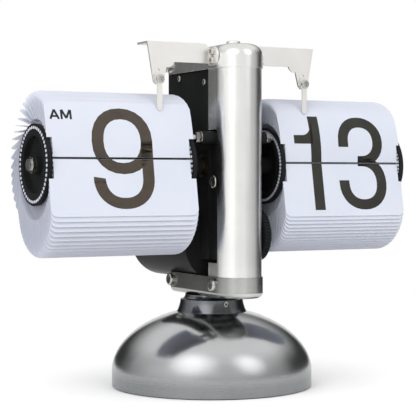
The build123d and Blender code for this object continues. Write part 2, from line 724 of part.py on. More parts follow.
with BuildPart() as housing_right:
    housing_half(1)
    drill(1, [(AXIS_Y, AXIS_Z)], BUSH_R)
    drill(1, [(IDLER_Y, IDLER_Z)], ARBOR_R + RUNNING)
    drill(1, [(THUMB_Y, THUMB_Z)], JOURNAL_R + RUNNING)
    drill(1, [(YOKE_Y, ROD_Z)], ROD_R)
    drill(1, SMALL_SPOTS, SMALL_SHANK_R, HOUSING_HALF - SMALL_DEPTH, HOUSING_HALF)
    drill(1, SCREW_SPOTS[1:], SCREW_SHANK_R, HALF_W - SHANK_LEN, HALF_W)
save(housing_right.part, "housing_right")

with BuildPart() as housing_screws:
    pan_screw(-1, FRONT_HALF, *BIG_SPOT, PAN_R, PAN_H, SCREW_SHANK_R, 1.0)
    for side in (-1, 1):
        for y, z in SMALL_SPOTS:
            pan_screw(side, HOUSING_HALF, y, z, TINY_PAN_R, TINY_PAN_H, SMALL_SHANK_R, SMALL_DEPTH)
save(housing_screws.part, "housing_screws")

# ---------------------------------------------------------------- battery
BARREL_AXIS = Axis((0, 0, BARREL_Z), (0, 1, 0))
CONTACT_T = 0.3
NUB_FRONT = BARREL_FRONT + BARREL_WALL + CONTACT_T


with BuildPart() as battery_cell:
    with BuildSketch(along_barrel(NUB_FRONT)):
        Circle(NUB_R)
    extrude(amount=NUB_LEN)
    with BuildSketch(along_barrel(NUB_FRONT + NUB_LEN)):
        Circle(CELL_R)
    extrude(amount=CELL_REAR - NUB_FRONT - NUB_LEN)
save(battery_cell.part, "battery_cell")

SPRING_R = 7.0
SPRING_WIRE = 0.42
COVER_POCKET = 1.8
with BuildPart() as battery_contacts:
    with BuildSketch(along_barrel(BARREL_FRONT + BARREL_WALL)):
        Rectangle(12, 12)
    extrude(amount=CONTACT_T)
    for turn in range(2):
        with BuildSketch(Plane.YZ):
            with Locations((CELL_REAR + SPRING_WIRE + 0.9 * turn, BARREL_Z + SPRING_R - 1.2 * turn)):
                Circle(SPRING_WIRE)
        revolve(axis=BARREL_AXIS)
save(battery_contacts.part, "battery_contacts")

with BuildPart() as battery_cover:
    with BuildSketch(along_barrel(BARREL_REAR)):
        Circle(BARREL_R)
    extrude(amount=COVER_T)
    fillet(battery_cover.edges().filter_by(GeomType.CIRCLE).sort_by(Axis.Y)[-1], 1.8)
    with BuildSketch(along_barrel(BARREL_REAR)):
        Circle(SPRING_R + 2)
    extrude(amount=COVER_POCKET, mode=Mode.SUBTRACT)
    with BuildSketch(along_barrel(BARREL_REAR + COVER_T)):
        SlotOverall(16, 3)
    extrude(amount=-0.6, mode=Mode.SUBTRACT)
save(battery_cover.part, "battery_cover")

# ---------------------------------------------------------------- movement
PLATE_LEFT = -4.2
PLATE_T = 2.0
PLATE_RIGHT = PLATE_LEFT + PLATE_T
PLATE_TOP = 134.0
PILLARS = [(-26.0, 73.0), (-26.0, 120.5), (6.0, 131.0)]
MOTOR_R = 8.0
MOTOR_END = 3.0
MOTOR_SHAFT_R = 0.75
HOUR_WHEEL_X = -7.3
THIN = 1.4
DRIVE_X = 4.6
PINION_X = 4.0
PINION_T = 2.6
THUMB_IN = 11.9
THUMB_OUT = 15.4
MOTOR_SHAFT_IN = -1.5
MOTOR_SHAFT_OUT = 7.2
MOTION_PINION_X = -7.4
MOTION_PINION_T = 1.8
MOTION_WHEEL_X = 0.5
MOTION_ARBOR_IN = -8.4
MOTION_ARBOR_OUT = 2.4
ARBOR_IN = -4.0
IDLER_OUT = 8.6

with BuildPart() as centre_plate:
    with BuildSketch(across(PLATE_LEFT)):
        Polygon(
            (-28.6, 70.0),
            (-9.2, 70.0),
            (-9.2, 92.6),
            (9.0, 92.6),
            (9.0, PLATE_TOP),
            (-15.0, PLATE_TOP),
            (-15.0, 125.6),
            (-28.6, 125.6),
            align=None,
        )
        with Locations((AXIS_Y, AXIS_Z), (THUMB_Y, THUMB_Z)):
            Circle(JOURNAL_R + RUNNING, mode=Mode.SUBTRACT)
        with Locations((MOTION_Y, MOTION_Z), (IDLER_Y, IDLER_Z)):
            Circle(ARBOR_R + RUNNING, mode=Mode.SUBTRACT)
        with Locations((YOKE_Y, ROD_Z)):
            Circle(ROD_R, mode=Mode.SUBTRACT)
    extrude(amount=PLATE_T)
    with BuildSketch(across(-CAVITY_HALF)):
        with Locations(*PILLARS):
            Circle(1.9)
    extrude(amount=CAVITY_HALF + PLATE_LEFT)
save(centre_plate.part, "centre_plate")

BOARD_T = 1.6
with BuildPart() as circuit_board:
    with BuildSketch(across(PLATE_LEFT, 6, PLATE_TOP + 10)):
        Rectangle(34, 20)
    extrude(amount=BOARD_T)
    with BuildSketch(across(PLATE_LEFT + BOARD_T, 0, PLATE_TOP + 11)):
        Rectangle(8, 6)
    extrude(amount=1.6)
    with BuildSketch(across(PLATE_LEFT + BOARD_T, 12, PLATE_TOP + 12)):
        SlotOverall(9, 3.6)
    extrude(amount=2.4)
save(circuit_board.part, "circuit_board")

with BuildPart() as motor:
    with BuildSketch(across(PLATE_RIGHT, MOTOR_Y, MOTOR_Z)):
        Circle(MOTOR_R)
    extrude(amount=MOTOR_END - PLATE_RIGHT)
    fillet(motor.edges().filter_by(GeomType.CIRCLE).sort_by(Axis.X)[-1], 0.6)
    with BuildSketch(across(PLATE_RIGHT, MOTOR_Y, MOTOR_Z)):
        Circle(MOTOR_SHAFT_R + RUNNING)
    extrude(amount=MOTOR_END - PLATE_RIGHT, mode=Mode.SUBTRACT)
save(motor.part, "motor")

DRIVE_TURN = 0.0
motor_turn = mesh_turn(towards(AXIS_Y, AXIS_Z, MOTOR_Y, MOTOR_Z), MOTOR_TEETH, DRIVE_TEETH, DRIVE_TURN)
idler_turn = mesh_turn(towards(AXIS_Y, AXIS_Z, IDLER_Y, IDLER_Z), IDLER_TEETH, DRIVE_TEETH, DRIVE_TURN)
thumb_turn = mesh_turn(
    towards(IDLER_Y, IDLER_Z, THUMB_Y, THUMB_Z), THUMB_TEETH, IDLER_TEETH, idler_turn
)
motion_turn = mesh_turn(towards(AXIS_Y, AXIS_Z, MOTION_Y, MOTION_Z), MOTION_TEETH, MINUTE_TEETH, 0.0)
pinion_turn = mesh_turn(
    towards(AXIS_Y, AXIS_Z, MOTION_Y, MOTION_Z), MOTION_PINION_TEETH, HOUR_TEETH, 0.0
)


def plain_arbor(x0, x1, y, z, radius):
    """A round arbor between two distances along X."""
    with BuildSketch(across(x0, y, z)) as rod:
        Circle(radius)
    extrude(rod.sketch, amount=x1 - x0)


def cut_gear(x, thick, y, z, module, teeth, turn):
    """A gear cut in one piece with its arbor."""
    with BuildSketch(across(x, y, z)) as teeth_sketch:
        gear(module, teeth, turn)
    extrude(teeth_sketch.sketch, amount=thick)


with BuildPart() as motor_pinion:
    plain_arbor(MOTOR_SHAFT_IN, MOTOR_SHAFT_OUT, MOTOR_Y, MOTOR_Z, MOTOR_SHAFT_R)
    cut_gear(PINION_X, PINION_T, MOTOR_Y, MOTOR_Z, COARSE, MOTOR_TEETH, motor_turn)
save(motor_pinion.part, "motor_pinion")

with BuildPart() as drive_wheel:
    with BuildSketch(at_axis(DRIVE_X)):
        gear(COARSE, DRIVE_TEETH, DRIVE_TURN, JOURNAL_R)
        with PolarLocations(7.4, 5):
            Circle(2.6, mode=Mode.SUBTRACT)
    extrude(amount=THIN)
save(drive_wheel.part, "drive_wheel")

with BuildPart() as minute_pinion:
    with BuildSketch(at_axis(0)):
        gear(FINE, MINUTE_TEETH, 0.0, JOURNAL_R)
    extrude(amount=PINION_T)
save(minute_pinion.part, "minute_pinion")

with BuildPart() as motion_arbor:
    plain_arbor(MOTION_ARBOR_IN, MOTION_ARBOR_OUT, MOTION_Y, MOTION_Z, ARBOR_R)
    cut_gear(
        MOTION_PINION_X, MOTION_PINION_T, MOTION_Y, MOTION_Z, FINE, MOTION_PINION_TEETH, pinion_turn
    )
save(motion_arbor.part, "motion_arbor")

with BuildPart() as motion_wheel:
    with BuildSketch(across(MOTION_WHEEL_X, MOTION_Y, MOTION_Z)):
        gear(FINE, MOTION_TEETH, motion_turn, ARBOR_R)
        with PolarLocations(6.4, 5):
            Circle(2.2, mode=Mode.SUBTRACT)
    extrude(amount=THIN)
save(motion_wheel.part, "motion_wheel")

with BuildPart() as hour_wheel:
    with BuildSketch(at_axis(HOUR_WHEEL_X)):
        gear(FINE, HOUR_TEETH, 0.0, JOURNAL_R)
        with PolarLocations(7.0, 5):
            Circle(2.4, mode=Mode.SUBTRACT)
    extrude(amount=THIN)
save(hour_wheel.part, "hour_wheel")

with BuildPart() as setting_idler:
    plain_arbor(ARBOR_IN, IDLER_OUT, IDLER_Y, IDLER_Z, ARBOR_R)
    cut_gear(DRIVE_X, THIN, IDLER_Y, IDLER_Z, COARSE, IDLER_TEETH, idler_turn)
save(setting_idler.part, "setting_idler")

with BuildPart() as thumb_arbor:
    plain_arbor(ARBOR_IN, THUMB_OUT, THUMB_Y, THUMB_Z, JOURNAL_R)
    cut_gear(PINION_X, PINION_T, THUMB_Y, THUMB_Z, COARSE, THUMB_TEETH, thumb_turn)
save(thumb_arbor.part, "thumb_arbor")

RIBS = 48
with BuildPart() as thumbwheel:
    with BuildSketch(across(THUMB_IN, THUMB_Y, THUMB_Z)):
        Circle(THUMB_R)
        with PolarLocations(THUMB_R, RIBS):
            Rectangle(0.8, 0.5, mode=Mode.SUBTRACT)
        Circle(JOURNAL_R, mode=Mode.SUBTRACT)
    extrude(amount=THUMB_OUT - THUMB_IN)
    with BuildSketch(across(THUMB_OUT, THUMB_Y, THUMB_Z)):
        Circle(THUMB_R - 2.6)
        Circle(THUMB_R - 8.0, mode=Mode.SUBTRACT)
    extrude(amount=-1.0, mode=Mode.SUBTRACT)
save(thumbwheel.part, "thumbwheel")

BUSH_END = 11.6
with BuildPart() as shaft_bushes:
    for side in (-1, 1):
        with BuildSketch(at_axis(side * (CAVITY_HALF + 0.1))):
            Circle(BUSH_R)
        extrude(amount=side * (BUSH_END - CAVITY_HALF - 0.1))
        with BuildSketch(at_axis(side * HOUSING_HALF)):
            Circle(BUSH_R + 1.5)
        extrude(amount=side * (BUSH_END - HOUSING_HALF))
    with BuildSketch(at_axis(-HALF_W)):
        Circle(SHAFT_R + RUNNING)
    extrude(amount=2 * HALF_W, mode=Mode.SUBTRACT)
save(shaft_bushes.part, "shaft_bushes")

with BuildPart() as cross_rod:
    with BuildSketch(across(-ROD_END, YOKE_Y, ROD_Z)):
        Circle(ROD_R)
    extrude(amount=2 * ROD_END)
    chamfer(cross_rod.edges().filter_by(GeomType.CIRCLE), 0.3)
save(cross_rod.part, "cross_rod")

with BuildPart() as cross_sleeves:
    for side in (-1, 1):
        with BuildSketch(across(side * FRONT_HALF, YOKE_Y, ROD_Z)):
            Circle(SLEEVE_R)
            Circle(ROD_R, mode=Mode.SUBTRACT)
        extrude(amount=side * (SLEEVE_END - FRONT_HALF))
save(cross_sleeves.part, "cross_sleeves")

ROD_WASHER_T = 0.6
with BuildPart() as cross_nuts:
    for side in (-1, 1):
        with BuildSketch(across(side * SLEEVE_END, YOKE_Y, ROD_Z)):
            Circle(3.3)
            Circle(ROD_R, mode=Mode.SUBTRACT)
        extrude(amount=side * ROD_WASHER_T)
        with BuildSketch(across(side * (SLEEVE_END + ROD_WASHER_T), YOKE_Y, ROD_Z)):
            RegularPolygon(2.4, 6, major_radius=False)
            Circle(ROD_R, mode=Mode.SUBTRACT)
        extrude(amount=side * 2.2)
save(cross_nuts.part, "cross_nuts")

# ---------------------------------------------------------------- drums
TAB_R = 0.72
TAB_HOLE_R = 0.74
TAB_PROUD = 0.2
TAB_LEN = TAB_PROUD + DISC_T + 0.3
HUB_START = 12.6
STEP_X = CAVITY_HALF + 0.1
NUT_SUNK = 0.3  # the nut sits this far below the disc's face


def drum_disc(drum, flange_x, cup_x, web_x, hub_from, hub_to):
    """A drum disc: a flange with the leaves' holes, a dish with its web and a hub."""
    side = drum["side"]
    with BuildSketch(at_axis(side * flange_x)) as flange:
        Circle(DISC_R)
        Circle(DISH_R, mode=Mode.SUBTRACT)
    extrude(flange.sketch, amount=side * DISC_T)
    with BuildSketch(at_axis(side * cup_x)) as cup:
        Circle(CUP_R)
        Circle(DISH_R, mode=Mode.SUBTRACT)
    extrude(cup.sketch, amount=side * CUP_T)
    with BuildSketch(at_axis(side * web_x)) as web:
        Circle(CUP_R)
    extrude(web.sketch, amount=side * WEB_T)
    with BuildSketch(at_axis(side * hub_from)) as hub:
        Circle(HUB_R)
    extrude(hub.sketch, amount=side * (hub_to - hub_from))
    with BuildSketch(at_axis(0)) as bore:
        Circle(SHAFT_R)
        with PolarLocations(HINGE_R, drum["leaves"], start_angle=180 - drum["first"]):
            Circle(TAB_HOLE_R)
    extrude(bore.sketch, amount=side * 2 * drum["out"], mode=Mode.SUBTRACT)


def inner_disc(drum):
    """The disc beside the housing, dished towards it."""
    web_x = DISC_IN + CUP_T - WEB_T
    drum_disc(drum, DISC_IN, DISC_IN, web_x, web_x, HUB_START)


def outer_disc(drum):
    """The disc at the end of the clock, dished outward."""
    cup_x = drum["out"] - CUP_T
    drum_disc(drum, drum["out"] - DISC_T, cup_x, cup_x, cup_x, drum["out"] - NUT_SUNK)


def drum_shaft(drum, inner_x):
    """A stepped steel shaft: a journal inside the movement and a thicker length for the drum."""
    side = drum["side"]
    with BuildSketch(at_axis(inner_x)) as journal:
        Circle(JOURNAL_R)
    extrude(journal.sketch, amount=side * STEP_X - inner_x)
    with BuildSketch(at_axis(side * STEP_X)) as body:
        Circle(SHAFT_R)
    extrude(body.sketch, amount=side * (drum["out"] + SHAFT_PROUD - STEP_X))


def drum_core(drum):
    """The tube between the two discs."""
    side = drum["side"]
    with BuildSketch(at_axis(side * (DISC_IN + CUP_T))) as tube:
        Circle(CORE_R)
        Circle(CORE_R - 1.5, mode=Mode.SUBTRACT)
    extrude(tube.sketch, amount=side * (drum["out"] - 2 * CUP_T - DISC_IN))


def drum_nut(drum):
    """The hexagon nut on the outer end of a drum shaft."""
    side = drum["side"]
    with BuildSketch(at_axis(side * (drum["out"] - NUT_SUNK))) as hexagon:
        RegularPolygon(NUT_FLATS / 2, 6, major_radius=False, rotation=10)
        Circle(SHAFT_R, mode=Mode.SUBTRACT)
    extrude(hexagon.sketch, amount=side * NUT_T)


def drum_tabs(drum):
    """The round tabs of all the leaves, in the holes of both discs."""
    side = drum["side"]
    for x in (DISC_IN - TAB_PROUD, drum["out"] + TAB_PROUD - TAB_LEN):
        with BuildSketch(at_axis(side * x)) as ring:
            with PolarLocations(HINGE_R, drum["leaves"], start_angle=180 - drum["first"]):
                Circle(TAB_R)
        extrude(ring.sketch, amount=side * TAB_LEN)


HOUR_INNER_END = -3.3
MINUTE_INNER_END = -3.1

with BuildPart() as hour_shaft:
    drum_shaft(HOUR, HOUR_INNER_END)
save(hour_shaft.part, "hour_shaft")

with BuildPart() as minute_shaft:
    drum_shaft(MINUTE, MINUTE_INNER_END)
save(minute_shaft.part, "minute_shaft")

with BuildPart() as hour_core:
    drum_core(HOUR)
save(hour_core.part, "hour_core")

with BuildPart() as minute_core:
    drum_core(MINUTE)
save(minute_core.part, "minute_core")

with BuildPart() as hour_inner_disc:
    inner_disc(HOUR)
save(hour_inner_disc.part, "hour_inner_disc")

with BuildPart() as minute_inner_disc:
    inner_disc(MINUTE)
save(minute_inner_disc.part, "minute_inner_disc")

with BuildPart() as hour_outer_disc:
    outer_disc(HOUR)
save(hour_outer_disc.part, "hour_outer_disc")

with BuildPart() as minute_outer_disc:
    outer_disc(MINUTE)
save(minute_outer_disc.part, "minute_outer_disc")

with BuildPart() as hour_nut:
    drum_nut(HOUR)
save(hour_nut.part, "hour_nut")

with BuildPart() as minute_nut:
    drum_nut(MINUTE)
save(minute_nut.part, "minute_nut")

with BuildPart() as hour_tabs:
    drum_tabs(HOUR)
save(hour_tabs.part, "hour_tabs")

with BuildPart() as minute_tabs:
    drum_tabs(MINUTE)
save(minute_tabs.part, "minute_tabs")


# ---------------------------------------------------------------- leaves
def lean(drum, turn):
    """How far a leaf leans back from upright when its hinge is turned this far from the front."""
    if turn < 90:
        share = (turn - drum["first"]) / (90 - drum["first"])
        return drum["lean"] + (TOP_LEAN - drum["lean"]) * (0.4 * share + 0.6 * share**2)
    if turn < 180:
        ripple = RIPPLE_LEAN * sin(pi * (turn - 90) / RIPPLE_TURN) ** 2
        return TOP_LEAN + (REAR_LEAN - TOP_LEAN) * (turn - 90) / 90 - ripple
    last = 360 + drum["first"] - 360 / drum["leaves"]
    return REAR_LEAN + (HANG_LEAN - REAR_LEAN) * (turn - 180) / (last - 180)


def bend(drum, turn):
    """How much a standing leaf is bowed back over the hinges behind it, in degrees."""
    return drum["bend"] * exp((drum["first"] - turn) / BEND_TURN)


def hinge_yz(turn):
    """Where a leaf's hinge is when it is turned this far from the front."""
    return (AXIS_Y - HINGE_R * cos(radians(turn)), AXIS_Z + HINGE_R * sin(radians(turn)))


def leaf_span(drum):
    """The two ends along X of a leaf's narrow part, between the discs."""
    return (DISC_IN + DISC_T + LEAF_PLAY, drum["out"] - DISC_T - LEAF_PLAY)


def leaf_part(drum, x0, x1, low, high):
    """Draws a rectangle of a leaf, between two ends along X and two distances from its hinge."""
    with Locations((drum["side"] * (x0 + x1) / 2, (low + high) / 2)):
        Rectangle(x1 - x0, high - low)


def flat_leaves(drum, turns):
    """Flat leaves that hang or fan out from their hinges."""
    planes = []
    for turn in turns:
        angle = radians(lean(drum, turn))
        planes.append(
            Plane(origin=(0, *hinge_yz(turn)), x_dir=(1, 0, 0), z_dir=(0, -cos(angle), sin(angle)))
        )
    narrow_in, narrow_out = leaf_span(drum)
    with BuildSketch(*planes) as outline:
        leaf_part(drum, LEAF_IN, drum["leaf_out"], NOTCH_H, LEAF_L)
        fillet(outline.vertices().sort_by(Axis.Y)[-2:], CORNER_R)
        leaf_part(drum, narrow_in, narrow_out, -LEAF_EDGE, NOTCH_H)
        leaf_part(drum, narrow_in - EAR_W, narrow_out + EAR_W, -EAR_H, EAR_H)
    extrude(outline.sketch, amount=LEAF_T / 2, both=True)


def bowed_sheet(drum, turn, low, high, x0, x1):
    """A stretch of a bowed leaf between two distances from its hinge."""
    y, z = hinge_yz(turn)
    bow = radians(bend(drum, turn))
    root = radians(lean(drum, turn)) - bow / 2
    curve = bow / LEAF_L

    def at(along, offset):
        """A point of the leaf's section, on one of its two faces."""
        angle = root + curve * along
        middle_y = y + (cos(root) - cos(angle)) / curve
        middle_z = z + (sin(angle) - sin(root)) / curve
        return (middle_y + offset * cos(angle), middle_z - offset * sin(angle))

    half = LEAF_T / 2
    between = (low + high) / 2
    with BuildSketch(across(drum["side"] * x0)) as section:
        with BuildLine() as edge:
            ThreePointArc(at(low, half), at(between, half), at(high, half))
            Line(at(high, half), at(high, -half))
            ThreePointArc(at(high, -half), at(between, -half), at(low, -half))
            Line(at(low, -half), at(low, half))
        make_face(edge.edges())
    return extrude(section.sketch, amount=drum["side"] * (x1 - x0))


def bowed_leaf(drum, turn):
    """A standing leaf, bowed back a little."""
    narrow_in, narrow_out = leaf_span(drum)
    plate = bowed_sheet(drum, turn, NOTCH_H, LEAF_L, LEAF_IN, drum["leaf_out"])
    corners = plate.edges().filter_by(lambda e: abs(e.length - LEAF_T) < 0.01).group_by(Axis.Z)[-1]
    fillet(corners, CORNER_R)
    bowed_sheet(drum, turn, -LEAF_EDGE, NOTCH_H, narrow_in, narrow_out)
    bowed_sheet(drum, turn, -EAR_H, EAR_H, narrow_in - EAR_W, narrow_out + EAR_W)


def turns_between(drum, low, high):
    """Where the hinges are between two turns from the front."""
    step = 360 / drum["leaves"]
    turns = [drum["first"] + step * i for i in range(drum["leaves"])]
    return [turn for turn in turns if low <= turn < high]


def lowest_turn(drum):
    """Where the hinge of the leaf that fell last is, just under the front one."""
    return 360 + drum["first"] - 360 / drum["leaves"]


def standing_leaves(drum):
    """The leaves behind the front one, up to the top of the drum."""
    for turn in turns_between(drum, drum["first"] + 1, 90):
        bowed_leaf(drum, turn)


with BuildPart() as hour_upper_leaf:
    bowed_leaf(HOUR, HOUR["first"])
save(hour_upper_leaf.part, "hour_upper_leaf")

with BuildPart() as minute_upper_leaf:
    bowed_leaf(MINUTE, MINUTE["first"])
save(minute_upper_leaf.part, "minute_upper_leaf")

with BuildPart() as hour_lower_leaf:
    flat_leaves(HOUR, [lowest_turn(HOUR)])
save(hour_lower_leaf.part, "hour_lower_leaf")

with BuildPart() as minute_lower_leaf:
    flat_leaves(MINUTE, [lowest_turn(MINUTE)])
save(minute_lower_leaf.part, "minute_lower_leaf")

with BuildPart() as hour_standing_leaves:
    standing_leaves(HOUR)
save(hour_standing_leaves.part, "hour_standing_leaves")

with BuildPart() as minute_standing_leaves:
    standing_leaves(MINUTE)
save(minute_standing_leaves.part, "minute_standing_leaves")

with BuildPart() as hour_hanging_leaves:
    flat_leaves(HOUR, turns_between(HOUR, 90, lowest_turn(HOUR) - 1))
save(hour_hanging_leaves.part, "hour_hanging_leaves")

with BuildPart() as minute_hanging_leaves:
    flat_leaves(MINUTE, turns_between(MINUTE, 90, lowest_turn(MINUTE) - 1))
save(minute_hanging_leaves.part, "minute_hanging_leaves")
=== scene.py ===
import json
from math import cos, pi, radians, sin

import bmesh
import bpy
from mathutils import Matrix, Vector
from mathutils.bvhtree import BVHTree


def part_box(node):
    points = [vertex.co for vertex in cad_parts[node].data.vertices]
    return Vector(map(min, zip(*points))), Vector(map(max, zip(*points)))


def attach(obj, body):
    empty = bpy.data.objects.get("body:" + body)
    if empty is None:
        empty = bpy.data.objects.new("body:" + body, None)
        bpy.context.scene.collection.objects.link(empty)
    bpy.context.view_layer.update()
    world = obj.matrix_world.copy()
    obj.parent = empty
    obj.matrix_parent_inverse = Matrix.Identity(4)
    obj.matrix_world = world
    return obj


# The looks of a flip clock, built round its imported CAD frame. Metres, in the row frame.
MM = 0.001

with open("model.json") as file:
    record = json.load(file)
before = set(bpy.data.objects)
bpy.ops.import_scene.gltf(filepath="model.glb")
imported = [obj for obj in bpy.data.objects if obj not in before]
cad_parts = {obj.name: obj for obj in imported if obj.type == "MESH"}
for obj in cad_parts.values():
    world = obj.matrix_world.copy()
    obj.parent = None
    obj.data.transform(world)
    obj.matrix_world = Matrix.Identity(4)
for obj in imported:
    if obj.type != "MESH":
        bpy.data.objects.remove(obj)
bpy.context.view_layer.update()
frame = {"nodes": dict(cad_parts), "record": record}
nodes = frame["nodes"]


# ---------------------------------------------------------------- node tools
class Graph:
    """The shading nodes of a material, a light or the world."""

    def __init__(self, owner):
        owner.use_nodes = True
        self.tree = owner.node_tree

    def feed(self, socket, value):
        """Links an output to a socket, or sets the socket's value."""
        if isinstance(value, bpy.types.NodeSocket):
            self.tree.links.new(value, socket)
        else:
            socket.default_value = value

    def node(self, kind, **inputs):
        """A new node with its inputs set or linked."""
        made = self.tree.nodes.new("ShaderNode" + kind)
        for socket, value in inputs.items():
            self.feed(made.inputs[socket.replace("_", " ")], value)
        return made

    def compute(self, kind, operation, first, second):
        """The number that a maths node makes of two values."""
        made = self.node(kind)
        made.operation = operation
        self.feed(made.inputs[0], first)
        self.feed(made.inputs[1], second)
        return made.outputs["Value"]

    def between(self, value, low, high, start=0.3, end=0.7, smooth=False):
        """A value carried from the range start..end to the range low..high."""
        made = self.node("MapRange", Value=value)
        if smooth:
            made.interpolation_type = "SMOOTHSTEP"
        names = ("From Min", "From Max", "To Min", "To Max")
        for socket, number in zip(names, (start, end, low, high)):
            made.inputs[socket].default_value = number
        return made.outputs["Result"]

    def ramp(self, value, stops):
        """A colour that follows a value through stops of position and colour."""
        made = self.node("ValToRGB", Fac=value)
        elements = made.color_ramp.elements
        while len(elements) < len(stops):
            elements.new(0.5)
        for element, (position, colour) in zip(elements, stops):
            element.position = position
            element.color = (*colour, 1)
        return made

    def blend(self, share, first, second):
        """One colour that gives way to another."""
        return self.node("MixRGB", Fac=share, Color1=first, Color2=second).outputs["Color"]


class Look(Graph):
    """A procedural material: a principled shader and the nodes that drive it."""

    def __init__(self, name, **sockets):
        self.material = bpy.data.materials.new(name)
        super().__init__(self.material)
        self.shader = self.tree.nodes["Principled BSDF"]
        for socket, value in sockets.items():
            self.shader.inputs[socket.replace("_", " ")].default_value = value

    def place(self, stretch=(1, 1, 1)):
        """Coordinates fixed to the piece, in metres, stretched along the axes."""
        coordinates = self.node("TexCoord").outputs["Object"]
        return self.node("Mapping", Vector=coordinates, Scale=stretch).outputs["Vector"]

    def along(self, axis):
        """The coordinate along one axis, in metres."""
        return self.node("SeparateXYZ", Vector=self.place()).outputs[axis]

    def noise(self, scale, stretch=(1, 1, 1), detail=4.0, roughness=0.55):
        """A noise value from 0 to 1."""
        made = self.node(
            "TexNoise", Vector=self.place(stretch), Scale=scale, Detail=detail, Roughness=roughness
        )
        return made.outputs["Fac"]

    def tint(self, value, first, second, start=0.3, end=0.7):
        """A colour between two others."""
        return self.ramp(value, [(start, first), (end, second)]).outputs["Color"]

    def add(self, first, second):
        """The sum of two values."""
        return self.compute("Math", "ADD", first, second)

    def set(self, socket, value):
        """Feeds one of the shader's sockets."""
        self.feed(self.shader.inputs[socket], value)

    def rough(self, noises, low, high):
        """A roughness that follows the sum of two noises."""
        self.set("Roughness", self.between(self.add(*noises), low, high, 0.7, 1.3))

    def relief(self, height, distance, strength=1.0, edge=0.0):
        """Bumps from a height, over edges rounded to a radius."""
        bump = self.node("Bump", Height=height, Distance=distance, Strength=strength)
        if edge:
            rounded = self.node("Bevel", Radius=edge)
            rounded.samples = 6
            self.feed(bump.inputs["Normal"], rounded.outputs["Normal"])
        self.set("Normal", bump.outputs["Normal"])


# ---------------------------------------------------------------- materials
EDGE = 0.22 * MM  # the usual rounding of an edge
FINE_EDGE = 0.12 * MM
CHROME_EDGE = 0.25 * MM
MOULDED_EDGE = 0.4 * MM
BRUSH_DEPTH = 0.004 * MM
BRUSH_STRENGTH = 0.25
BRUSH_STRETCH = 0.012  # a brush line is 1/0.012 times as long as it is wide


def polished_chrome(name, table_shade_tones, high_tones):
    """Spun and plated metal: softened reflections, lathe lines, and painted shade that darkens it towards
    the table.
    """
    look = Look(name, Metallic=1.0)
    smudge = look.noise(28.0, detail=3.0)
    spin = look.noise(6.0, stretch=(6, 6, 420), detail=5.0)
    height = look.along("Z")
    low = look.tint(smudge, *table_shade_tones)
    high = look.tint(smudge, *high_tones)
    # Painted shade: the base colour darkens towards the table, in place of a darker reflected floor.
    look.set("Base Color", look.blend(look.between(height, 0.0, 1.0, 5 * MM, 22 * MM), low, high))
    worn = look.between(look.add(smudge, spin), 0.0, 0.04, 0.7, 1.3)
    look.set("Roughness", look.add(worn, look.between(height, 0.26, 0.14, 7 * MM, 24 * MM)))
    look.relief(spin, 0.02 * MM, 0.35, edge=CHROME_EDGE)
    return look.material


def brushed(name, first, second, rough, grain_along, edge):
    """Satin metal with fine brush lines along one axis."""
    look = Look(name, Metallic=1.0)
    stretch = [1.0, 1.0, 1.0]
    stretch["xyz".index(grain_along)] = BRUSH_STRETCH
    lines = look.noise(900.0, stretch=stretch, detail=3.0)
    cloud = look.noise(40.0, detail=3.0)
    look.set("Base Color", look.tint(cloud, first, second))
    look.rough((lines, cloud), rough * 0.82, rough * 1.2)
    look.relief(lines, BRUSH_DEPTH, BRUSH_STRENGTH, edge=edge)
    return look.material


def plated_tray():
    """Plated sheet, dark along its sides and bright round its front: painted shade and a painted highlight.
    """
    look = Look("plated_tray", Metallic=1.0)
    cloud = look.noise(40.0, detail=3.0)
    lines = look.noise(900.0, stretch=(BRUSH_STRETCH, 1, 1), detail=3.0)
    # Painted shade on the sides and a painted highlight on the front, blended by position along Y.
    side = look.tint(cloud, (0.28, 0.285, 0.27), (0.34, 0.345, 0.33))
    front = look.tint(cloud, (0.62, 0.62, 0.60), (0.70, 0.70, 0.68))
    share = look.between(look.along("Y"), 1.0, 0.0, -42 * MM, -34 * MM)
    look.set("Base Color", look.blend(share, side, front))
    look.rough((lines, cloud), 0.17, 0.24)
    look.relief(lines, BRUSH_DEPTH, BRUSH_STRENGTH, edge=EDGE)
    return look.material


def bead_blasted(name, first, second, rough, edge):
    """Plated sheet with a fine even speckle."""
    look = Look(name, Metallic=1.0)
    speckle = look.noise(2600.0, detail=2.0)
    cloud = look.noise(55.0, detail=3.0)
    look.set("Base Color", look.tint(cloud, first, second))
    look.set("Roughness", look.between(cloud, rough * 0.85, rough * 1.15))
    look.relief(speckle, 0.012 * MM, 0.6, edge=edge)
    return look.material


def moulded(name, first, second, rough, edge, ior=1.28):
    """Moulded plastic with a fine spark-eroded texture."""
    look = Look(name, IOR=ior)
    fine = look.noise(1500.0)
    cloud = look.noise(35.0, detail=3.0)
    look.set("Base Color", look.tint(cloud, first, second))
    look.rough((fine, cloud), rough * 0.85, rough * 1.15)
    look.relief(fine, 0.015 * MM, 0.7, edge=edge)
    return look.material


def leaf_sheet():
    """Thin white plastic sheet: cool, even and faintly translucent, with a soft surface ripple."""
    look = Look("leaf_sheet", IOR=1.46, Subsurface_Weight=0.08, Subsurface_Scale=0.6 * MM)
    cloud = look.noise(22.0, detail=3.0)
    fine = look.noise(2400.0, detail=3.0)
    look.set("Base Color", look.tint(cloud, (0.575, 0.605, 0.69), (0.605, 0.63, 0.71)))
    look.rough((fine, cloud), 0.34, 0.46)
    look.relief(look.add(fine, cloud), 0.008 * MM, 0.5)
    return look.material


def ink(name, first, second):
    """Screen-printed ink, a little denser in places."""
    look = Look(name, IOR=1.5, Specular_IOR_Level=0.35)
    cloud = look.noise(160.0, detail=5.0)
    fine = look.noise(3200.0, detail=2.0)
    look.set("Base Color", look.tint(cloud, first, second))
    look.rough((cloud, fine), 0.3, 0.45)
    look.relief(fine, 0.006 * MM, 0.5)
    return look.material


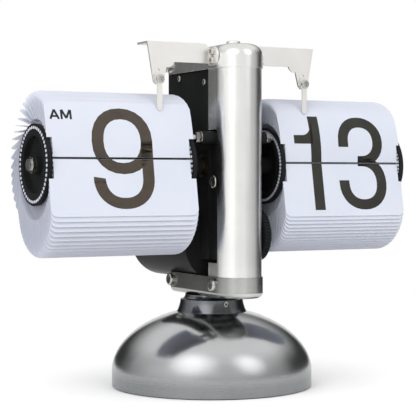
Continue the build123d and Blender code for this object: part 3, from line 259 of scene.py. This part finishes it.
def cast_iron():
    """Grey sand-cast ballast."""
    look = Look("cast_iron", Metallic=0.6)
    grain = look.noise(700.0, detail=8.0, roughness=0.7)
    look.set("Base Color", look.tint(grain, (0.06, 0.06, 0.062), (0.14, 0.14, 0.145)))
    look.set("Roughness", look.between(grain, 0.55, 0.8))
    look.relief(grain, 0.25 * MM)
    return look.material


def rubber():
    """Dark non-slip pad."""
    look = Look("pad_rubber", IOR=1.45)
    grain = look.noise(1800.0, detail=5.0)
    look.set("Base Color", look.tint(grain, (0.012, 0.012, 0.013), (0.03, 0.03, 0.031)))
    look.set("Roughness", look.between(grain, 0.7, 0.9))
    look.relief(grain, 0.06 * MM)
    return look.material


LOOKS = {
    "chrome": polished_chrome(
        "polished_chrome",
        table_shade_tones=((0.25, 0.26, 0.265), (0.29, 0.30, 0.302)),
        high_tones=((0.55, 0.56, 0.565), (0.61, 0.62, 0.622)),
    ),
    "satin_steel": brushed(
        "satin_steel", (0.80, 0.795, 0.775), (0.87, 0.865, 0.845), 0.24, "z", EDGE
    ),
    "satin_nickel": bead_blasted(
        "satin_nickel", (0.83, 0.82, 0.79), (0.88, 0.87, 0.84), 0.46, 0.15 * MM
    ),
    "screw_steel": bead_blasted(
        "screw_steel", (0.42, 0.41, 0.385), (0.56, 0.55, 0.52), 0.22, FINE_EDGE
    ),
    "tool_steel": brushed(
        "tool_steel", (0.42, 0.42, 0.42), (0.54, 0.54, 0.54), 0.3, "x", 0.1 * MM
    ),
    "black_plastic": moulded(
        "black_plastic", (0.0125, 0.0130, 0.0134), (0.0185, 0.0190, 0.0196), 0.3, MOULDED_EDGE, ior=1.08
    ),
    "white_leaf": leaf_sheet(),
    "brass": brushed("brass", (0.10, 0.068, 0.03), (0.15, 0.10, 0.045), 0.3, "y", 0.1 * MM),
    "iron": cast_iron(),
    "rubber": rubber(),
    "cell_wrap": moulded("cell_wrap", (0.05, 0.055, 0.065), (0.08, 0.085, 0.10), 0.3, EDGE),
    "board": moulded("board", (0.01, 0.075, 0.03), (0.015, 0.11, 0.045), 0.35, EDGE),
}
# The collar, the tray and the rod's nuts are darker than the pieces they share a slot with: painted shade,
# as darker copies of their slot's finish.
PAINTED_SHADE_LOOKS = {
    # Painted shade: a darker copy of the chrome for the collar.
    "neck_collar": polished_chrome(
        "shaded_chrome",
        table_shade_tones=((0.13, 0.13, 0.135), (0.17, 0.17, 0.175)),
        high_tones=((0.15, 0.155, 0.165), (0.20, 0.205, 0.215)),
    ),
    "bottom_tray": plated_tray(),
    # Painted shade: a darker copy of the steel for the rod's nuts.
    "cross_nuts": bead_blasted(
        "shaded_steel", (0.16, 0.155, 0.15), (0.26, 0.255, 0.24), 0.2, FINE_EDGE
    ),
}
BROWN_INK = ink("brown_ink", (0.036, 0.026, 0.017), (0.058, 0.043, 0.029))
BLACK_INK = ink("black_ink", (0.014, 0.013, 0.009), (0.024, 0.023, 0.017))
# The line ink also colours the black bands at the flip gap, which are painted shade.
LETTER_INK_AND_GAP_SHADE = ink("letter_ink_and_gap_shade", (0.004, 0.004, 0.004), (0.008, 0.008, 0.008))

for part in frame["record"]["subparts"]:
    node = nodes[part["node"]]
    node.data.materials.clear()
    node.data.materials.append(PAINTED_SHADE_LOOKS.get(part["node"], LOOKS[part["material_slot"]]))

# ---------------------------------------------------------------- numerals
# A numeral is drawn flat, in millimetres from the middle of its leaf and from the flip line, as
# ribbons of printed stroke. Each half is then laid on the face of its leaf.
HALF_HEIGHT = 23.6
STROKE = 6.0
THIN_STROKE = 5.2
TOP_LINE = HALF_HEIGHT - THIN_STROKE / 2  # the middle of a stroke along a numeral's top
SQUARENESS = 2.2
STEPS = 24


def bow(cx, cz, rx, rz, start, end):
    """Points of a slightly squared ellipse between two angles in degrees."""
    points = []
    for step in range(STEPS + 1):
        angle = radians(start + (end - start) * step / STEPS)
        c, s = cos(angle), sin(angle)
        x = cx + rx * abs(c) ** (2 / SQUARENESS) * (1 if c >= 0 else -1)
        z = cz + rz * abs(s) ** (2 / SQUARENESS) * (1 if s >= 0 else -1)
        points.append((x, z))
    return points


def ribbon(points, wide=STROKE, thin=THIN_STROKE, closed=False):
    """The two sides of a stroke along a path, thinner where the path runs across."""
    left, right = [], []
    count = len(points)
    for i, (x, z) in enumerate(points):
        if closed:
            before, after = points[(i - 1) % count], points[(i + 1) % count]
        else:
            before, after = points[max(i - 1, 0)], points[min(i + 1, count - 1)]
        along = Vector((after[0] - before[0], after[1] - before[1])).normalized()
        width = thin + (wide - thin) * along.y**2
        left.append((x - along.y * width / 2, z + along.x * width / 2))
        right.append((x + along.y * width / 2, z - along.x * width / 2))
    return left, right


def strip_faces(drawing, left, right, closed=False):
    """Adds a stroke to a drawing as a row of four-sided faces."""
    a = [drawing.verts.new((x, 0, z)) for x, z in left]
    b = [drawing.verts.new((x, 0, z)) for x, z in right]
    count = len(a)
    for i in range(count if closed else count - 1):
        j = (i + 1) % count
        drawing.faces.new((a[i], b[i], b[j], a[j]))


def stroke(drawing, points, wide=STROKE, thin=THIN_STROKE, closed=False):
    """Draws a stroke along a path."""
    strip_faces(drawing, *ribbon(points, wide, thin, closed), closed)


def draw_nine(drawing):
    """A closed bowl with a tail that sweeps under it."""
    half, bowl_z, bowl_rise = 12.55, 8.1, 12.9
    tail_z, tail_end = -9.0, -11.6
    stroke(drawing, bow(0, bowl_z, half, bowl_rise, 0, 360)[:-1], closed=True)
    tail = bow(0, tail_z, half, TOP_LINE + tail_z, 0, -180)
    neck = [(half, bowl_z), (half, (bowl_z + tail_z) / 2)]
    stroke(drawing, neck + tail + [(-half, tail_end)])


def draw_eight(drawing):
    """Two closed bowls, the upper one smaller."""
    upper, lower = (11.0, 10.2), (12.4, 11.4)
    stroke(drawing, bow(0, TOP_LINE - upper[1], *upper, 0, 360)[:-1], closed=True)
    stroke(drawing, bow(0, lower[1] - TOP_LINE, *lower, 0, 360)[:-1], closed=True)


def draw_one(drawing):
    """An upright stroke with a flag that curves down from its top."""
    stem = -15.1
    flag_tip, flag_low, flag_thick, flag_flat = -27.75, 9.7, 4.3, 4.6
    into_stem, sharpness = 1.6, 1.2
    stroke(drawing, [(stem, -HALF_HEIGHT), (stem, flag_low), (stem, HALF_HEIGHT)], thin=STROKE)
    flag_top = flag_low + flag_thick
    bend = flag_tip + flag_flat
    rise = HALF_HEIGHT - flag_top
    reach = stem - STROKE / 2 + into_stem - bend
    upper, lower = [(flag_tip, flag_top)], [(flag_tip, flag_low)]
    for step in range(STEPS + 1):
        angle = pi / 2 * step / STEPS
        x = bend + reach * sin(angle)
        upper.append((x, flag_top + rise * (1 - cos(angle)) ** sharpness))
        lower.append((x, flag_low))
    strip_faces(drawing, upper, lower)


def draw_two(drawing):
    """An arch that turns down to a slanting stroke and a flat foot."""
    cx, rx, rz, arch_foot = 11.9, 11.0, 10.8, 8.0
    slant_bend, slant_x = (5.0, -10.0), 1.6
    foot_left, foot_right = -1.2, 25.0
    arch = bow(cx, TOP_LINE - rz, rx, rz, 180, -40)
    stroke(drawing, [(cx - rx, arch_foot)] + arch + [slant_bend, (slant_x, -TOP_LINE)])
    stroke(drawing, [(foot_left, -TOP_LINE), (foot_right, -TOP_LINE)])


def draw_three(drawing):
    """Two open bowls that meet in a short bar."""
    waist, bar = 1.1, 9.8
    upper_tip, lower_tip = (1.4, 8.3), (0.7, -8.7)
    upper_half = (TOP_LINE - waist) / 2
    lower_half = (TOP_LINE + waist) / 2
    upper = bow(11.9, waist + upper_half, 10.5, upper_half, 180, -90)
    stroke(drawing, [upper_tip] + upper + [(bar, waist)])
    lower = bow(12.1, waist - lower_half, 11.4, lower_half, 90, -180)
    stroke(drawing, [(bar, waist)] + lower + [lower_tip])


def draw_thirteen(drawing):
    """The minutes that show."""
    draw_one(drawing)
    draw_three(drawing)


def draw_twelve(drawing):
    """The minutes before them."""
    draw_one(drawing)
    draw_two(drawing)


def draw_morning(drawing):
    """The small letters beside the hour."""
    low, high, pen, thin_pen = 17.9, 22.3, 1.05, 0.85
    a_left, a_top, a_right, bar_rise, bar_inset = -35.0, -32.9, -30.8, 1.35, 0.6
    m_left, m_middle, m_right, m_inset, m_rise = -29.4, -27.15, -24.9, 0.2, 0.5
    for foot in (a_left, a_right):
        stroke(drawing, sorted([(foot, low), (a_top, high)]), pen, pen)
    bar = [(a_left + bar_inset, low + bar_rise), (a_right - bar_inset, low + bar_rise)]
    stroke(drawing, bar, pen, thin_pen)
    for stem in (m_left, m_right):
        stroke(drawing, [(stem, low), (stem, high)], pen, pen)
    for shoulder in (m_left + m_inset, m_right - m_inset):
        stroke(drawing, [(shoulder, high), (m_middle, low + m_rise)], pen, pen)


def draw_gap_shade_band(drawing):
    """The black band along the hinged edge of a leaf: painted shade of the dark gap where the leaves meet.
    """
    reach, half_band = 36, 0.52
    stroke(drawing, [(x, 0) for x in range(-reach, reach + 1)], thin=2 * half_band)


SLICE = 1.2  # a drawing is cut this often, so that it can follow its leaf
EDGE_MARGIN = 0.05  # the print stops short of the leaf's hinged edge
RAY_START = 5 * MM
FILM_GAP = 0.012 * MM
FILM_T = 0.02 * MM


def flip_line(drum):
    """The height at which a drum's front leaves meet."""
    upper_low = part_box(f"{drum}_upper_leaf")[0].z
    lower_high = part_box(f"{drum}_lower_leaf")[1].z
    return (upper_low + lower_high) / 2


def cut(drawing, z, keep_above=None):
    """Cuts a drawing at a height, and keeps one side of it if that is asked for."""
    geometry = drawing.verts[:] + drawing.edges[:] + drawing.faces[:]
    bmesh.ops.bisect_plane(
        drawing,
        geom=geometry,
        plane_co=(0, 0, z),
        plane_no=(0, 0, 1),
        clear_inner=keep_above is True,
        clear_outer=keep_above is False,
    )


def laid_on_leaf(name, draw, drum, upper, look, behind=False):
    """One half of a numeral or of a painted shade band, laid on the front of a drum's leaf or on its back.
    """
    leaf = f"{drum}_upper_leaf" if upper else f"{drum}_lower_leaf"
    flip_z = flip_line(drum)
    low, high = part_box(leaf)
    drawing = bmesh.new()
    draw(drawing)
    if behind:
        bmesh.ops.scale(drawing, vec=(1, 1, -1), verts=drawing.verts)
    if upper:
        cut(drawing, (low.z - flip_z) / MM + EDGE_MARGIN, keep_above=True)
    else:
        cut(drawing, (high.z - flip_z) / MM - EDGE_MARGIN, keep_above=False)
    for step in range(int(HALF_HEIGHT / SLICE) + 1):
        cut(drawing, SLICE * step if upper else -SLICE * step)
    mesh = nodes[leaf].data
    tree = BVHTree.FromPolygons([v.co for v in mesh.vertices], [p.vertices for p in mesh.polygons])
    side = 1 if behind else -1
    centre_x = (low.x + high.x) / 2
    start_y = (high.y if behind else low.y) + side * RAY_START
    missed = []
    for vertex in drawing.verts:
        start = Vector((centre_x + vertex.co.x * MM, start_y, flip_z + vertex.co.z * MM))
        hit, normal, _, _ = tree.ray_cast(start, Vector((0, -side, 0)))
        if hit is None:
            missed.append(vertex)
        else:
            vertex.co = hit + normal * FILM_GAP
    bmesh.ops.delete(drawing, geom=missed, context="VERTS")
    bmesh.ops.recalc_face_normals(drawing, faces=drawing.faces)
    print_mesh = bpy.data.meshes.new(name)
    drawing.to_mesh(print_mesh)
    drawing.free()
    print_mesh.materials.append(look)
    piece = bpy.data.objects.new(name, print_mesh)
    bpy.context.scene.collection.objects.link(piece)
    film = piece.modifiers.new("film", "SOLIDIFY")
    film.thickness = FILM_T
    film.offset = 0
    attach(piece, "frame" if upper else f"{drum}_flap")


laid_on_leaf("hour_numeral_upper", draw_nine, "hour", True, BROWN_INK)
laid_on_leaf("hour_numeral_lower", draw_nine, "hour", False, BROWN_INK)
laid_on_leaf("hour_letters", draw_morning, "hour", True, LETTER_INK_AND_GAP_SHADE)
laid_on_leaf("minute_numeral_upper", draw_thirteen, "minute", True, BLACK_INK)
laid_on_leaf("minute_numeral_lower", draw_thirteen, "minute", False, BLACK_INK)
# Painted shade: the black bands along the hinged edges stand in for the dark gap where the leaves meet.
for drum in ("hour", "minute"):
    laid_on_leaf(f"{drum}_gap_shade_upper", draw_gap_shade_band, drum, True, LETTER_INK_AND_GAP_SHADE)
    laid_on_leaf(f"{drum}_gap_shade_lower", draw_gap_shade_band, drum, False, LETTER_INK_AND_GAP_SHADE)
laid_on_leaf("hour_before", draw_eight, "hour", False, BROWN_INK, behind=True)
laid_on_leaf("minute_before", draw_twelve, "minute", False, BLACK_INK, behind=True)

# ---------------------------------------------------------------- stage, light and camera
AZIMUTH = radians(28)
AWAY = Vector((sin(AZIMUTH), cos(AZIMUTH), 0))  # the way the camera looks
ASIDE = Vector((cos(AZIMUTH), -sin(AZIMUTH), 0))  # to the camera's right
UP = Vector((0, 0, 1))
CENTRE = Vector((0, 0, 0.09))
FLOOR_R = 0.36

bpy.ops.mesh.primitive_circle_add(radius=FLOOR_R, vertices=96, fill_type="NGON")
floor = bpy.context.object
floor.name = "floor"
pale = Look("pale_floor", Roughness=0.6, IOR=1.3, Specular_IOR_Level=0.2)
pale.set("Base Color", pale.tint(pale.noise(3.0), (0.915, 0.915, 0.918), (0.93, 0.93, 0.933)))
floor.data.materials.append(pale.material)


def hang(name, light, away, aside, up):
    """Puts a light at a place beside the clock's middle, looking at it."""
    holder = bpy.data.objects.new(name, light)
    holder.location = CENTRE + away * AWAY + aside * ASIDE + up * UP
    holder.rotation_euler = (CENTRE - holder.location).to_track_quat("-Z", "Y").to_euler()
    bpy.context.scene.collection.objects.link(holder)
    return holder


def softbox(name, width, height, watts):
    """A soft light whose brightness fades out towards its rim."""
    rim, core, peak = 0.5, 0.08, 3.0
    light = bpy.data.lights.new(name, "AREA")
    light.shape = "ELLIPSE"
    light.size = width
    light.size_y = height
    light.energy = watts
    glow = Graph(light)
    where = glow.node("NewGeometry").outputs["Parametric"]
    from_middle = glow.compute("VectorMath", "DISTANCE", where, (0.5, 0.5, 0))
    fade = glow.between(from_middle, 0.0, peak, rim, core, smooth=True)
    glow.feed(glow.tree.nodes["Emission"].inputs["Strength"], fade)
    return light


hang("key", softbox("key", 1.7, 1.8, 3.0), away=-1.0, aside=-0.5, up=0.8)
hang("fill", softbox("fill", 1.2, 1.8, 2.3), away=-0.85, aside=1.0, up=0.75)
wash = bpy.data.lights.new("wash", "SUN")
wash.angle = radians(110)
wash.energy = 1.5
wash_holder = hang("wash", wash, away=-0.25, aside=-0.15, up=1.0)
wash_holder.visible_glossy = False


def greys(*stops):
    """Stops of position and grey as stops of position and colour."""
    return [(position, (grey, grey, grey)) for position, grey in stops]


# Each side of the room as metal reflects it, from behind the camera, past a dark gap, to the
# white backdrop.
LEFT_WALL = greys(
    (0.0, 0.9), (0.04, 1.2), (0.3, 1.0), (0.6, 0.6), (0.72, 0.22), (0.83, 0.05), (0.955, 0.04), (0.985, 0.9)
)
RIGHT_WALL = greys(
    (0.0, 0.9), (0.07, 0.9), (0.16, 0.66), (0.45, 0.52), (0.7, 0.06), (0.955, 0.04), (0.985, 0.9)
)
CEILING = greys((0.0, 0.55), (0.4, 0.7), (0.8, 0.9))
WALL_TO_CEILING = greys((0.25, 0.0), (0.72, 1.0))
LEFT_TO_RIGHT = greys((0.0, 0.0), (0.2, 1.0))

world = bpy.data.worlds.new("studio")
bpy.context.scene.world = world
studio = Graph(world)


def eased(value, stops):
    """A grey that follows a value softly through stops."""
    made = studio.ramp(value, stops)
    made.color_ramp.interpolation = "EASE"
    return made.outputs["Color"]


direction = studio.node("TexCoord").outputs["Generated"]
height = studio.node("SeparateXYZ", Vector=direction).outputs["Z"]
across = studio.compute("VectorMath", "DOT_PRODUCT", direction, ASIDE)
facing = studio.compute("VectorMath", "DOT_PRODUCT", direction, AWAY)
depth = studio.between(facing, 0.0, 1.0, -1.0, 1.0)
walls = studio.blend(
    eased(across, LEFT_TO_RIGHT), eased(depth, LEFT_WALL), eased(depth, RIGHT_WALL)
)
room = studio.blend(eased(height, WALL_TO_CEILING), walls, eased(height, CEILING))
seen = studio.blend(studio.node("LightPath").outputs["Is Camera Ray"], room, (1, 1, 1, 1))
studio.feed(studio.tree.nodes["Background"].inputs["Color"], seen)

EYE = Vector((-0.3296, -0.6160, 0.1042))
FOCAL_LENGTH = 119.4
SENSOR_WIDTH = 36
HORIZON_SHIFT = -0.0704
lens = bpy.data.cameras.new("camera")
lens.lens = FOCAL_LENGTH
lens.sensor_width = SENSOR_WIDTH
lens.shift_y = HORIZON_SHIFT
camera = bpy.data.objects.new("camera", lens)
camera.location = EYE
camera.rotation_euler = (pi / 2, 0, -AZIMUTH)
bpy.context.scene.collection.objects.link(camera)
bpy.context.scene.camera = camera
bpy.context.scene.view_settings.view_transform = "Standard"
